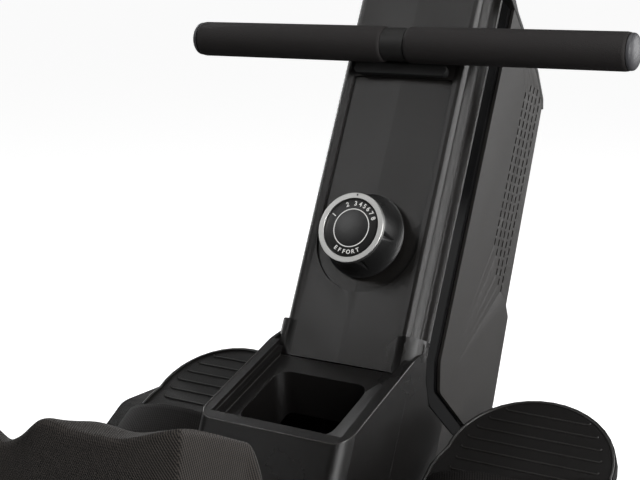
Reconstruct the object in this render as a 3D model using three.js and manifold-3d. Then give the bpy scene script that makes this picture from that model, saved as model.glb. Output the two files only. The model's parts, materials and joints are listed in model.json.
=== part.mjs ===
// Folding magnetic rowing machine, millimetres, +Z up, the rower faces +Y, +X is the rower's right.
// The origin is on the floor, under the middle of the machine's outline.
// Most pieces are drawn from one station: the centre of the resistance knob on the front cover.
import * as THREE from 'three';
import { mergeVertices } from 'three/addons/utils/BufferGeometryUtils.js';
import Module from 'manifold-3d';

const wasm = await Module();
wasm.setup();

// ---- driving dimensions ----
const KNOB_Y = 695; // knob station, forward of the origin
const KNOB_Z = 520; // knob station above the floor
const LEAN = 25 * Math.PI / 180; // the tower leans away from the rower
const FLOOR = -KNOB_Z; // floor level seen from the knob station
const GAP = 0.3; // clearance between touching pieces
const WALL = 3; // moulded shell wall

const TOWER_HALF = 80; // half width over the side shells
const FLANK_HALF = 76.8; // half width of cover, tray and lower shroud
const TOWER_TOP = 262; // top of the front cover, along the tower

const RAIL_HALF = 30;
const RAIL_TOP = -205;
const RAIL_BOTTOM = -275;
const RAIL_FRONT = -303.5;
const RAIL_REAR = -1610;
const BEAM_HALF = 25;
const GROOVE_TOP = -228;
const GROOVE_BOTTOM = -252;
const GROOVE_FLOOR = 18;

const FOLD_Y = -300;
const FOLD_Z = -192;
const TUBE_R = 25; // floor tubes
const FRONT_TUBE = { y: 155, z: FLOOR + 45 };
const REAR_TUBE = { y: -1565, z: FLOOR + 45 };
const WHEEL = { y: 205, z: FLOOR + 32, r: 30 };

const FLYWHEEL = { y: 60, z: -310, r: 110 };
const SPOOL = { y: 41.4, z: -57.9, drum: 22, pulley: 50 };
const BRAKE_PIVOT = { y: -3, z: -201 };
const STRAP_HALF = 10;

const BAR_UP = 185; // handlebar axis along the tower
const BAR_OUT = 22; // and out from its face
const BAR_HALF = 235.5;
const GRIP_R = 17.5;

const PEDAL = { x: 170, y: -95, z: -292, tilt: Math.atan(0.63) };
const PLATE_TOP = 39.5; // sole surface above the pedal pivot
const SEAT_FRONT = -292;
const SEAT_REAR = -484;
const SEAT_MIDDLE = -392;
const SEAT_BOTTOM = -152;
const SEAT_HALF = 143;

// ---- materials ----
function finish(color, roughness, metalness = 0) {
  return new THREE.MeshStandardMaterial({ color, roughness, metalness });
}
const coverPlastic = finish(0x4b4948, 0.45);
const darkPlastic = finish(0x2c2b2b, 0.5);
const glossBlack = finish(0x0d0d0e, 0.15);
const foam = finish(0x1d1a19, 0.95);
const rubber = finish(0x141414, 0.8);
const frameSteel = finish(0x1b1b1c, 0.4, 0.5);
const bareSteel = finish(0x9a9c9f, 0.3, 1);
const castIron = finish(0x3c3c3e, 0.6, 0.9);
const silver = finish(0xb9bbbd, 0.25, 1);
const aluminium = finish(0xaeb1b4, 0.35, 1);
const webbing = finish(0x2b2725, 0.9);
const upholstery = finish(0x3a3532, 0.9);
const screenGlass = finish(0x5a6258, 0.2);
const capGrey = finish(0x55565a, 0.5);

// ---- solids ----
function solid(geometry) {
  const bare = geometry.clone();
  for (const name of ['normal', 'uv']) {
    bare.deleteAttribute(name);
  }
  const merged = mergeVertices(bare, 1e-4);
  return new wasm.Manifold(new wasm.Mesh({
    numProp: 3,
    vertProperties: new Float32Array(merged.attributes.position.array),
    triVerts: new Uint32Array(merged.index.array),
  }));
}

function join(first, ...others) {
  return others.reduce((sum, other) => sum.add(other), first);
}

function cut(body, ...tools) {
  return tools.reduce((rest, tool) => rest.subtract(tool), body);
}

function geometryOf(body) {
  const mesh = body.getMesh();
  const geometry = new THREE.BufferGeometry();
  geometry.setAttribute('position', new THREE.BufferAttribute(mesh.vertProperties, 3));
  geometry.setIndex(new THREE.BufferAttribute(mesh.triVerts, 1));
  return geometry;
}

// An outline is a list of [a, b] or [a, b, radius] corners; a radius rounds that corner.
function rounded(corners, steps = 4) {
  const points = [];
  corners.forEach(([a, b, radius], i) => {
    if (!radius) {
      points.push(new THREE.Vector2(a, b));
      return;
    }
    const corner = new THREE.Vector2(a, b);
    const before = corners[(i + corners.length - 1) % corners.length];
    const after = corners[(i + 1) % corners.length];
    const back = new THREE.Vector2(before[0], before[1]).sub(corner).normalize();
    const on = new THREE.Vector2(after[0], after[1]).sub(corner).normalize();
    const half = Math.acos(THREE.MathUtils.clamp(back.dot(on), -1, 1)) / 2;
    const reach = radius / Math.tan(half);
    const inward = back.clone().add(on).normalize();
    const centre = inward.multiplyScalar(radius / Math.sin(half)).add(corner);
    const start = back.multiplyScalar(reach).add(corner).sub(centre).angle();
    const end = on.multiplyScalar(reach).add(corner).sub(centre).angle();
    const turn = THREE.MathUtils.euclideanModulo(end - start + Math.PI, 2 * Math.PI) - Math.PI;
    for (let k = 0; k <= steps; k += 1) {
      const angle = start + turn * k / steps;
      points.push(new THREE.Vector2(Math.cos(angle), Math.sin(angle)).multiplyScalar(radius).add(centre));
    }
  });
  return points;
}

function arc(a, b, radius, from, to, steps) {
  const points = [];
  for (let k = 0; k <= steps; k += 1) {
    const angle = from + (to - from) * k / steps;
    points.push([a + radius * Math.cos(angle), b + radius * Math.sin(angle)]);
  }
  return points;
}

function extruded(corners, length, holes = []) {
  const shape = new THREE.Shape(rounded(corners));
  for (const hole of holes) {
    shape.holes.push(new THREE.Path(rounded(hole)));
  }
  return new THREE.ExtrudeGeometry(shape, { depth: length, bevelEnabled: false });
}

// A (y, z) outline drawn out along X.
function alongX(corners, x0, x1, holes = []) {
  const turn = new THREE.Matrix4().makeBasis(
    new THREE.Vector3(0, 1, 0), new THREE.Vector3(0, 0, 1), new THREE.Vector3(1, 0, 0));
  return solid(extruded(corners, x1 - x0, holes).applyMatrix4(turn).translate(x0, 0, 0));
}

// An (x, z) outline drawn out along Y.
function alongY(corners, y0, y1, holes = []) {
  return solid(extruded(corners, y1 - y0, holes).rotateX(Math.PI / 2).translate(0, y1, 0));
}

// An (x, y) outline drawn out along Z.
function alongZ(corners, z0, z1, holes = []) {
  return solid(extruded(corners, z1 - z0, holes).translate(0, 0, z0));
}

function block(x0, x1, y0, y1, z0, z1) {
  const geometry = new THREE.BoxGeometry(x1 - x0, y1 - y0, z1 - z0);
  return solid(geometry.translate((x0 + x1) / 2, (y0 + y1) / 2, (z0 + z1) / 2));
}

function rodX(radius, x0, x1, y, z, sides = 16) {
  const geometry = new THREE.CylinderGeometry(radius, radius, x1 - x0, sides);
  return solid(geometry.rotateZ(-Math.PI / 2).translate((x0 + x1) / 2, y, z));
}

// A closed (radius, x) section turned about a line along X through (y, z).
function turnedX(section, y, z, sides = 24) {
  const points = section.map(([r, x]) => new THREE.Vector2(r, x));
  return solid(new THREE.LatheGeometry(points, sides).rotateZ(-Math.PI / 2).translate(0, y, z));
}

// A (radius, height out of the face) section turned about the knob's axis in tower space.
function turnedOut(section, sides = 32) {
  const points = section.map(([r, h]) => new THREE.Vector2(r, h));
  return solid(new THREE.LatheGeometry(points, sides).rotateX(Math.PI));
}

// ---- assembly: a station at the knob, and a leaning space for the tower ----
// In tower space X is across, Y is depth into the tower and Z runs up along its face.
const rower = new THREE.Group();
const station = new THREE.Group();
station.position.set(0, KNOB_Y, KNOB_Z);
rower.add(station);
const tower = new THREE.Group();
tower.rotation.x = -LEAN;
station.add(tower);

function place(group, name, body, material) {
  const mesh = new THREE.Mesh(geometryOf(body), material);
  mesh.name = name;
  group.add(mesh);
}

function towerPoint(depth, up) {
  return [up * Math.sin(LEAN) + depth * Math.cos(LEAN), up * Math.cos(LEAN) - depth * Math.sin(LEAN)];
}

const SIDES = [['left', -1], ['right', 1]];

function onSide(side, body) {
  return side < 0 ? body.mirror([1, 0, 0]) : body;
}

// ================= floor frame =================
// Welded main frame: beam under the tray, mid leg, and the ears of the rail's fold hinge.
{
  const wall = 3;
  const beamRear = FOLD_Y - 2.5;
  const beamFront = -75;
  const legFront = -242;
  const legRear = -282;
  const legHalf = 20;
  const footTop = FLOOR + 40;
  const beam = block(-BEAM_HALF, BEAM_HALF, beamRear, beamFront, RAIL_BOTTOM, RAIL_TOP);
  const beamBore = block(-BEAM_HALF + wall, BEAM_HALF - wall, beamRear - 1, beamFront + 1,
    RAIL_BOTTOM + wall, RAIL_TOP - wall);
  const leg = block(-legHalf, legHalf, legRear, legFront, footTop + GAP, RAIL_BOTTOM + 1);
  const legBore = block(-legHalf + wall, legHalf - wall, legRear + wall, legFront - wall,
    footTop, RAIL_BOTTOM + wall + 1);
  let frame = cut(join(beam, leg), beamBore, legBore);
  const earOutline = [[-338, -262, 8], [-338, -215, 8], [-312, -180, 12], [-288, -180, 12],
    [-245, -207, 8], [-245, -262, 8]].reverse();
  for (const [, side] of SIDES) {
    const ear = alongX(earOutline, RAIL_HALF + 0.6, RAIL_HALF + 5.6);
    const pad = block(BEAM_HALF - 1, RAIL_HALF + 1, -301, -250, -258, -211);
    const pinHole = rodX(6.3, RAIL_HALF - 2, RAIL_HALF + 8, FOLD_Y, FOLD_Z);
    let cheek = cut(join(ear, pad), pinHole);
    if (side > 0) {
      cheek = cut(cheek, rodX(5.3, RAIL_HALF - 2, RAIL_HALF + 8, -322, -240));
    }
    frame = join(frame, onSide(side, cheek));
  }
  place(station, 'main_frame', frame, frameSteel);

  const footHalf = 150;
  const footOutline = [[-footHalf, FLOOR, 4], [footHalf, FLOOR, 4], [footHalf, footTop, 16],
    [-footHalf, footTop, 16]];
  const foot = alongY(footOutline, legRear - 3, legFront + 3);
  place(station, 'mid_foot', foot, rubber);
}

// Front floor tube with its moulded end caps, which carry the transport wheels.
{
  const tubeHalf = 200;
  const tube = cut(rodX(TUBE_R, -tubeHalf, tubeHalf, FRONT_TUBE.y, FRONT_TUBE.z, 28),
    rodX(TUBE_R - 2.5, -tubeHalf - 1, tubeHalf + 1, FRONT_TUBE.y, FRONT_TUBE.z, 28));
  place(station, 'front_stabiliser', tube, frameSteel);
  const capOutline = [[118, FLOOR, 6], [190, FLOOR, 6], [224, FLOOR + 26, 14], [216, FLOOR + 52, 12],
    [176, FLOOR + 76, 16], [128, FLOOR + 76, 16]];
  for (const [name, side] of SIDES) {
    const cap = alongX(capOutline, tubeHalf + GAP, tubeHalf + 22);
    const pin = rodX(6, tubeHalf + 20, tubeHalf + 47, WHEEL.y, WHEEL.z);
    const head = rodX(10, tubeHalf + 46, tubeHalf + 50, WHEEL.y, WHEEL.z);
    place(station, `front_foot_${name}`, onSide(side, join(cap, pin, head)), darkPlastic);
    const wheel = turnedX([[6.3, 223], [14, 223], [16, 225], [27, 225], [WHEEL.r, 228], [WHEEL.r, 241],
      [27, 244], [16, 244], [14, 245.5], [6.3, 245.5], [6.3, 223]], WHEEL.y, WHEEL.z);
    place(station, `transport_wheel_${name}`, onSide(side, wheel), rubber);
  }
}

// ================= drive inside the tower =================
// Twin steel plates; the left one carries the pressed-in axles.
const PLATE = [BEAM_HALF + GAP, BEAM_HALF + GAP + 4];
{
  const outline = [[-135, RAIL_BOTTOM], [-70, RAIL_BOTTOM], [20, -352], [128, -461], [182, -461],
    [178, -300], [110, -215], towerPoint(158, -60), towerPoint(158, 66), towerPoint(114, 66),
    towerPoint(32, 10), towerPoint(32, -90), [-40, RAIL_TOP], [-135, RAIL_TOP]];
  const tubeSeat = rodX(TUBE_R + GAP, -60, 60, FRONT_TUBE.y, FRONT_TUBE.z, 28);
  const plate = cut(alongX(outline, ...PLATE), tubeSeat);
  const axles = [[8, FLYWHEEL], [6, SPOOL], [4, BRAKE_PIVOT]];
  const pins = axles.map(([r, at]) => rodX(r, -PLATE[1] + 1, PLATE[1] + 4, at.y, at.z));
  const holes = axles.map(([r, at]) => rodX(r + GAP, 0, 60, at.y, at.z));
  place(station, 'drive_plate_left', join(onSide(-1, plate), ...pins), frameSteel);
  place(station, 'drive_plate_right', cut(plate, ...holes), frameSteel);
}

// Mast inside the tower, with the arms and pin of the strap roller.
const ROLLER = { depth: 29.7, up: 177, r: 8 };
{
  const tube = cut(block(-BEAM_HALF, BEAM_HALF, 118, 150, -20, 185), block(-22, 22, 121, 147, -21, 186));
  const arms = SIDES.map(([, side]) => onSide(side, alongX(
    [[22, 169, 4], [119, 169], [119, 185], [22, 185, 4]], 13, 16.5)));
  const pin = rodX(3, -14, 14, ROLLER.depth, ROLLER.up, 16);
  place(tower, 'mast', join(tube, ...arms, pin), frameSteel);
  const roller = turnedX([[3.3, -11.5], [9.5, -11.5], [9.5, -10.6], [ROLLER.r, -10.6], [ROLLER.r, 10.6],
    [9.5, 10.6], [9.5, 11.5], [3.3, 11.5], [3.3, -11.5]], ROLLER.depth, ROLLER.up, 16);
  place(tower, 'strap_roller', roller, darkPlastic);
}

const SMALL_PULLEY = 18;
{
  const lip = SMALL_PULLEY + 4;
  const section = [[8.3, -22], [20, -22], [20, -14], [82, -14], [84, -22], [FLYWHEEL.r, -22],
    [FLYWHEEL.r, 6], [84, 6], [82, -2], [22, -2], [22, 12.6], [lip, 13], [lip, 14], [SMALL_PULLEY, 14],
    [SMALL_PULLEY, 22.6], [lip, 22.6], [lip, 23.8], [8.3, 23.8], [8.3, -22]];
  const wheel = turnedX(section, FLYWHEEL.y, FLYWHEEL.z, 32);
  place(station, 'flywheel', wheel, castIron);
  const spool = turnedX([[6.3, -12.5], [29, -12.5], [29, -11], [SPOOL.drum, -11], [SPOOL.drum, 11],
    [29, 11], [29, 13], [SPOOL.pulley + 3, 13], [SPOOL.pulley + 3, 14], [SPOOL.pulley, 14],
    [SPOOL.pulley, 22.6], [SPOOL.pulley + 3, 22.6], [SPOOL.pulley + 3, 23.8], [6.3, 23.8],
    [6.3, -12.5]], SPOOL.y, SPOOL.z, 24);
  place(station, 'strap_spool', spool, darkPlastic);
}

// Poly-V belt round both pulleys.
function beltLoop(extra) {
  const across = Math.atan2(FLYWHEEL.z - SPOOL.z, FLYWHEEL.y - SPOOL.y);
  const span = Math.hypot(FLYWHEEL.z - SPOOL.z, FLYWHEEL.y - SPOOL.y);
  const wrap = Math.acos((SPOOL.pulley - SMALL_PULLEY) / span);
  const big = arc(SPOOL.y, SPOOL.z, SPOOL.pulley + extra, across + wrap, across + 2 * Math.PI - wrap, 20);
  const small = arc(FLYWHEEL.y, FLYWHEEL.z, SMALL_PULLEY + extra, across - wrap, across + wrap, 12);
  return [...big, ...small];
}
place(station, 'drive_belt', alongX(beltLoop(2.2), 14.4, 22.2, [beltLoop(GAP)]), rubber);

// Brake shoe over the flywheel rim: a steel arc with its magnets, hung on a pin between the plates.
{
  const from = 58 * Math.PI / 180;
  const to = 118 * Math.PI / 180;
  const shoe = alongX([...arc(FLYWHEEL.y, FLYWHEEL.z, 124, from, to, 14),
    ...arc(FLYWHEEL.y, FLYWHEEL.z, 113, to, from, 14)], -20, 4);
  const boss = rodX(9, -20, 4, BRAKE_PIVOT.y, BRAKE_PIVOT.z);
  const bore = rodX(4.3, -30, 30, BRAKE_PIVOT.y, BRAKE_PIVOT.z);
  place(station, 'brake_shoe', cut(join(shoe, boss), bore), bareSteel);
}

// Pull strap: out of the cover's slot, over the roller and down to the spool.
{
  const thickness = 1.6;
  const outer = ROLLER.r + GAP + thickness;
  const inner = ROLLER.r + GAP;
  const tangent = ROLLER.depth + outer;
  const outline = [[-5, ROLLER.up + inner], [-5, ROLLER.up + outer],
    ...arc(ROLLER.depth, ROLLER.up, outer, Math.PI / 2, 0, 8),
    [tangent, -30], [tangent - thickness, -30],
    ...arc(ROLLER.depth, ROLLER.up, inner, 0, Math.PI / 2, 8)];
  place(tower, 'pull_strap', alongX(outline.reverse(), -STRAP_HALF, STRAP_HALF), webbing);
}

// ================= tower shells =================
// Front cover: a thin channel with stepped flanks, a recessed panel with a round lower end, and cheeks.
{
  const flank = [[0, -2], [54, 0.6], [58.5, 0], [62, 0.6], [63, 2], [63.6, 8], [65, 8.8], [69, 13.5],
    [69.6, 17], [71.5, 18.4], [74, 18.6], [76.2, 20], [FLANK_HALF, 21.4]];
  const smooth = [[0, -2], [54, 0.6], [62, 0.9], [70, 3.5], [75, 9], [FLANK_HALF, 15], [FLANK_HALF, 21.4]];
  const inside = [[73.3, 21.4], [66, 17.5], [60, 11], [59, 6.5], [0, 6.5]];
  const channel = (outer, low, high) => {
    const right = [...outer, ...inside];
    const left = right.slice(1, -1).reverse().map(([x, y]) => [-x, y]);
    return alongZ([...right, ...left], low, high);
  };
  const ridged = channel(flank, -88, TOWER_TOP);
  const plain = channel(smooth, -122, -87);
  const cheekOutline = [[12, -90], [21.4, -100], [29, -119.9], [46.7, -142], [85, -152.4], [85, -249.2],
    [-2, -289.6], [-2, -108.5], [12, -99]];
  const cheek = alongX(cheekOutline.reverse(), 73.3, FLANK_HALF);
  const cheeks = SIDES.map(([, side]) => onSide(side, cheek));
  const recessHalf = 54;
  const recessTop = 160;
  const recessOutline = [[recessHalf, recessTop, 3], [-recessHalf, recessTop, 3],
    ...arc(0, 0, recessHalf, Math.PI, 2 * Math.PI, 20)];
  const recessTool = alongY(recessOutline, -20, 20).intersect(
    alongZ([[0, 0.5], [60, 3.4], [60, -20], [-60, -20], [-60, 3.4]].reverse(), -80, 200));
  const knobHole = solid(new THREE.CylinderGeometry(5.4, 5.4, 40, 20));
  const strapSlot = block(-13, 13, -20, 30, ROLLER.up + 3, ROLLER.up + 15);
  const cover = cut(join(ridged, plain, ...cheeks), recessTool, knobHole, strapSlot);
  place(tower, 'front_cover', cover, coverPlastic);
}

// Storage tray in front of the tower: flanks flush with the cover, a sloping shelf and a deep well.
{
  const seamOut = 2.3; // gap in front of the cover
  const frontOut = 95;
  const slope = 0.9656;
  const wallTop = (out) => -109 - (out - seamOut) * slope;
  const shelfAt = (out) => -121 - out * 0.96;
  const bottomAt = (out) => (-262 - 0.42262 * out) / 0.90631;
  const side = [[-seamOut, wallTop(seamOut)], [-seamOut, bottomAt(seamOut)],
    [-frontOut, bottomAt(frontOut)], [-frontOut, wallTop(frontOut)]];
  const plan = [[FLANK_HALF, 60], [-FLANK_HALF, 60], [-FLANK_HALF, -frontOut, 14],
    [FLANK_HALF, -frontOut, 14]];
  const outer = alongX(side, -FLANK_HALF, FLANK_HALF).intersect(alongZ(plan, -400, 0));
  const under = alongX([[20, shelfAt(-20) - WALL], [20, -400], [-frontOut + WALL, -400],
    [-frontOut + WALL, shelfAt(frontOut) - WALL - 2]], -FLANK_HALF + WALL, FLANK_HALF - WALL)
    .intersect(alongZ([[FLANK_HALF, 60], [-FLANK_HALF, 60], [-FLANK_HALF + WALL, -frontOut + WALL, 12],
      [FLANK_HALF - WALL, -frontOut + WALL, 12]], -420, 0));
  const lipFront = frontOut - 8;
  const upperStep = alongX([[20, wallTop(-20) - 6], [-lipFront, wallTop(lipFront) - 6], [-lipFront, 0],
    [20, 0]].reverse(), -67, 67);
  const lowerStep = alongX([[20, shelfAt(-20)], [-lipFront + 3, shelfAt(lipFront - 3)],
    [-lipFront + 3, 0], [20, 0]].reverse(), -62, 62);
  const lean = (body) => body.rotate([LEAN * 180 / Math.PI, 0, 0]);
  const wellOutline = (grow) => [[48 + grow, -150 - grow, 13], [48 + grow, -76 + grow, 13],
    [-48 - grow, -76 + grow, 13], [-48 - grow, -150 - grow, 13]];
  const wellOuter = lean(alongZ(wellOutline(2.5), -193, -100)).intersect(outer);
  const wellInner = lean(alongZ(wellOutline(0), -190.5, 0));
  const shelfTool = alongX([[20, shelfAt(-20)], [-frontOut - 5, shelfAt(frontOut + 5)],
    [-frontOut - 5, 50], [20, 50]].reverse(), -60, 60);
  const beamWay = lean(block(-37, 37, -330, 0, -300, RAIL_TOP + 4));
  const well = cut(wellOuter, shelfTool);
  const tray = cut(join(cut(outer, under), well), upperStep, lowerStep, wellInner, beamWay);
  place(tower, 'storage_tray', tray, coverPlastic);
}

// Side shells, the gloss bands let in beside them, and the lower shroud halves round the flywheel.
{
  const panel = [[46, 252], [46, -100, 10], [58, -127, 10], [127, -147], [190, -166, 4], [190, -114],
    [183, -27, 4], [172, -17, 4], [161, 192.5, 5], [157, 199], [131, 218], [56, 248.5]];
  const hollow = [[20, 300], [20, -200], [250, -200], [250, -119], [187, -119], [180, -28.5], [169, -18.5],
    [158, 192], [158, 300]];
  const band = [[21.8, 252], [21.8, -100.3, 30], [29.4, -119.5, 20], [47, -141.3, 20], [114, -159.5],
    [190, -180.6], [190, -166.4], [127, -147.4], [57.6, -127.3, 10], [45.7, -100, 10], [45.7, 252]];
  const shroud = [towerPoint(85.4, -152.8), towerPoint(85.4, -249.6), [-28, -263], [-78, -263, 4],
    [-78, -395, 20], [-40, -432, 20], [190, -432, 20], [212, -395, 25], [212, -300, 25],
    [185, -235, 30], towerPoint(190.5, -118), towerPoint(190.5, -181.4), towerPoint(114, -160.3)];
  const shroudHollow = [towerPoint(60, -120), [-60, -240], [-60, -266], [-75, -266],
    [-75, -394], [-39, -429], [189, -429], [209, -394], [209, -301], [182.5, -237.5],
    towerPoint(187.5, -110)];
  const legWay = block(-36, 36, 85, 195, -450, -420);
  const beamWay = block(-32, 32, -90, -60, RAIL_BOTTOM - 2, -255);
  for (const [name, side] of SIDES) {
    const shell = cut(alongX(panel, GAP / 2, TOWER_HALF), alongX(hollow, -1, TOWER_HALF - WALL));
    place(tower, `side_shell_${name}`, onSide(side, shell), coverPlastic);
    const strip = alongX(band, 74.4, TOWER_HALF - WALL - GAP);
    place(tower, `side_band_${name}`, onSide(side, strip), glossBlack);
    const lower = cut(alongX(shroud, GAP / 2, FLANK_HALF), alongX(shroudHollow, -1, FLANK_HALF - WALL),
      legWay, beamWay);
    place(station, `lower_shroud_${name}`, onSide(side, lower), coverPlastic);
  }

  const capOutline = [[-2, TOWER_TOP + GAP], [24, TOWER_TOP + GAP], [46, 253], [56.5, 249.2],
    [131.3, 218.7], [157.6, 199.5], [162.5, 192], [167, 192.5], [161, 203], [133.5, 223], [58, 254],
    [32, 270, 8], [-2, 270, 3]];
  const armWay = block(-16, 16, 62, 155, 180, 290);
  place(tower, 'top_cap', cut(alongX(capOutline, -TOWER_HALF, TOWER_HALF), armWay), darkPlastic);

  const restOutline = [[50, 160, 5.4], [50, 171, 5.4], [-50, 171, 5.4], [-50, 160, 5.4]];
  place(tower, 'bar_rest', alongY(restOutline, -10, -2.3), rubber);
}

// ================= resistance knob =================
{
  // The skirt and ring turn round the dial's fixed stem.
  const skirt = turnedOut([[3.3, -20], [5, -20], [5, 3], [41, 3], [41, 5], [38.5, 9], [35.5, 17],
    [34, 25], [33.4, 29.7], [3.3, 29.7], [3.3, -20]]);
  place(tower, 'knob_skirt', skirt, darkPlastic);
  const ring = turnedOut([[28, 30], [33.4, 30], [33.4, 33.2], [32.4, 34.2], [29, 34.2], [28, 33.4],
    [28, 30]]);
  const index = block(-1.3, 1.3, -36, -32.4, 29, 34);
  place(tower, 'knob_ring', cut(ring, index), silver);
  const dial = turnedOut([[0, -26], [3, -26], [3, 30], [27.7, 30], [27.7, 32.2], [0, 32.2]]);
  place(tower, 'knob_dial', dial, darkPlastic);
}

// ================= handlebar =================
{
  const barY = -BAR_OUT;
  const gripEnd = 228;
  const sleeveHalf = 12;
  const tube = cut(rodX(12.5, -BAR_HALF + 5, BAR_HALF - 5, barY, BAR_UP), rodX(10, -240, 240, barY, BAR_UP));
  place(tower, 'bar_tube', tube, bareSteel);
  for (const [name, side] of SIDES) {
    const gripSection = [[12.8, sleeveHalf + GAP], [GRIP_R - 2, sleeveHalf + GAP], [GRIP_R, sleeveHalf + 3],
      [GRIP_R, gripEnd - 3], [GRIP_R - 2, gripEnd], [12.8, gripEnd], [12.8, sleeveHalf + GAP]];
    const grip = turnedX(gripSection, barY, BAR_UP, 20);
    place(tower, `foam_grip_${name}`, onSide(side, grip), foam);
    const capSection = [[0, 212], [9.7, 212], [9.7, BAR_HALF - 4.7], [16.5, BAR_HALF - 4.7],
      [15.5, BAR_HALF - 1.5], [10, BAR_HALF - 0.3], [0, BAR_HALF]];
    const cap = turnedX(capSection, barY, BAR_UP, 20);
    place(tower, `bar_end_cap_${name}`, onSide(side, cap), capGrey);
  }
  const sleeve = turnedX([[12.8, -sleeveHalf], [15.8, -sleeveHalf], [15.8, sleeveHalf], [12.8, sleeveHalf],
    [12.8, -sleeveHalf]], barY, BAR_UP, 20);
  const eye = cut(block(-9, 9, barY + 14.5, -6, BAR_UP - 4, BAR_UP + 6), rodX(14, -20, 20, barY, BAR_UP));
  place(tower, 'centre_sleeve', join(sleeve, eye), darkPlastic);
}

// ================= console =================
const TILT = { depth: 64, up: 296 };
{
  const arm = alongX([[119, 185.4], [146, 185.4], [122, 232], [TILT.depth + 7, TILT.up - 4],
    [TILT.depth - 7, TILT.up - 4], [70, 262], [98, 226]], -12, 12);
  const knuckle = rodX(8, -15, 15, TILT.depth, TILT.up);
  const bore = rodX(3.3, -20, 20, TILT.depth, TILT.up, 16);
  place(tower, 'console_arm', cut(join(arm, knuckle), bore), frameSteel);

  const back = 54;
  const front = 26;
  const low = 308;
  const high = 402;
  const half = 92;
  const shell = alongY([[half, low, 16], [half, high, 22], [-half, high, 22], [-half, low, 16]], front, back);
  const window = alongY([[62, 340, 3], [62, 390, 3], [-62, 390, 3], [-62, 340, 3]], front - 1, front + 3);
  const wells = [-1, 1].map((k) => alongY(
    [[k * 30 + 13, 316, 5], [k * 30 + 13, 332, 5], [k * 30 - 13, 332, 5], [k * 30 - 13, 316, 5]],
    front - 1, front + 6));
  const ears = SIDES.map(([, side]) => onSide(side, alongX(
    [[TILT.depth - 8, TILT.up - 8, 7], [TILT.depth + 8, TILT.up - 8, 7], [TILT.depth + 8, TILT.up + 8],
      [back - 4, 345], [back - 8, 345], [back - 8, 312]], 15.4, 20)));
  const pin = rodX(3, -18, 18, TILT.depth, TILT.up, 16);
  place(tower, 'console_housing', join(cut(shell, window, ...wells), ...ears, pin), darkPlastic);
  const screen = alongY([[61.6, 340.4, 3], [61.6, 389.6, 3], [-61.6, 389.6, 3], [-61.6, 340.4, 3]],
    front + 0.6, front + 2.7);
  place(tower, 'console_screen', screen, screenGlass);
  for (const [name, side] of SIDES) {
    const centre = side * 30;
    const key = alongY([[centre + 12.6, 316.4, 5], [centre + 12.6, 331.6, 5], [centre - 12.6, 331.6, 5],
      [centre - 12.6, 316.4, 5]], front - 2, front + 3);
    place(tower, `console_button_${name}`, key, rubber);
  }
}

// ================= rail =================
{
  const outline = [[-RAIL_HALF, RAIL_TOP, 2], [-RAIL_HALF, GROOVE_TOP], [-GROOVE_FLOOR, GROOVE_TOP],
    [-GROOVE_FLOOR, GROOVE_BOTTOM], [-RAIL_HALF, GROOVE_BOTTOM], [-RAIL_HALF, RAIL_BOTTOM, 2],
    [RAIL_HALF, RAIL_BOTTOM, 2], [RAIL_HALF, GROOVE_BOTTOM], [GROOVE_FLOOR, GROOVE_BOTTOM],
    [GROOVE_FLOOR, GROOVE_TOP], [RAIL_HALF, GROOVE_TOP], [RAIL_HALF, RAIL_TOP, 2]];
  const bore = [[14, -209], [14, -271], [-14, -271], [-14, -209]];
  place(station, 'rail', alongY(outline, RAIL_REAR, RAIL_FRONT, [bore]), aluminium);

  const knuckle = rodX(12, -24, 24, FOLD_Y, FOLD_Z);
  const base = block(-24, 24, -350, FOLD_Y, RAIL_TOP + GAP, RAIL_TOP + 7);
  const stop = block(-18, 18, -350, -341, RAIL_TOP + GAP, RAIL_TOP + 16);
  const pinHole = rodX(6.3, -40, 40, FOLD_Y, FOLD_Z);
  place(station, 'rail_hinge_bracket', cut(join(knuckle, base, stop), pinHole), frameSteel);
  const pin = join(rodX(6, -38, 38, FOLD_Y, FOLD_Z), rodX(10, -42, -36.2, FOLD_Y, FOLD_Z),
    rodX(10, 36.2, 42, FOLD_Y, FOLD_Z));
  place(station, 'fold_pin', pin, bareSteel);
  const lockAt = [-322, -240];
  const lock = join(rodX(5, RAIL_HALF + 1, RAIL_HALF + 8, ...lockAt),
    rodX(13, RAIL_HALF + 7, RAIL_HALF + 12, ...lockAt), rodX(10, RAIL_HALF + 11, RAIL_HALF + 26, ...lockAt));
  place(station, 'fold_lock_pin', lock, darkPlastic);

  const capOutline = [[33, -278, 6], [33, -186, 8], [-33, -186, 8], [-33, -278, 6]];
  const cap = alongY(capOutline, RAIL_REAR - 15, RAIL_REAR - GAP);
  place(station, 'rail_end_cap', cap, rubber);

  const post = block(-20, 20, REAR_TUBE.y - 22, REAR_TUBE.y + 22, REAR_TUBE.z, RAIL_BOTTOM - GAP);
  const tube = rodX(TUBE_R, -190, 190, REAR_TUBE.y, REAR_TUBE.z, 28);
  const tubeBore = rodX(TUBE_R - 2.5, -191, 191, REAR_TUBE.y, REAR_TUBE.z, 28);
  place(station, 'rear_stand', cut(join(post, tube), tubeBore), frameSteel);
  const footOutline = [[-1597, FLOOR, 5], [-1533, FLOOR, 5], [-1533, FLOOR + 76, 20],
    [-1597, FLOOR + 76, 20]];
  for (const [name, side] of SIDES) {
    const foot = alongX(footOutline, 190 + GAP, 214);
    place(station, `rear_foot_${name}`, onSide(side, foot), darkPlastic);
  }
}

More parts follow.
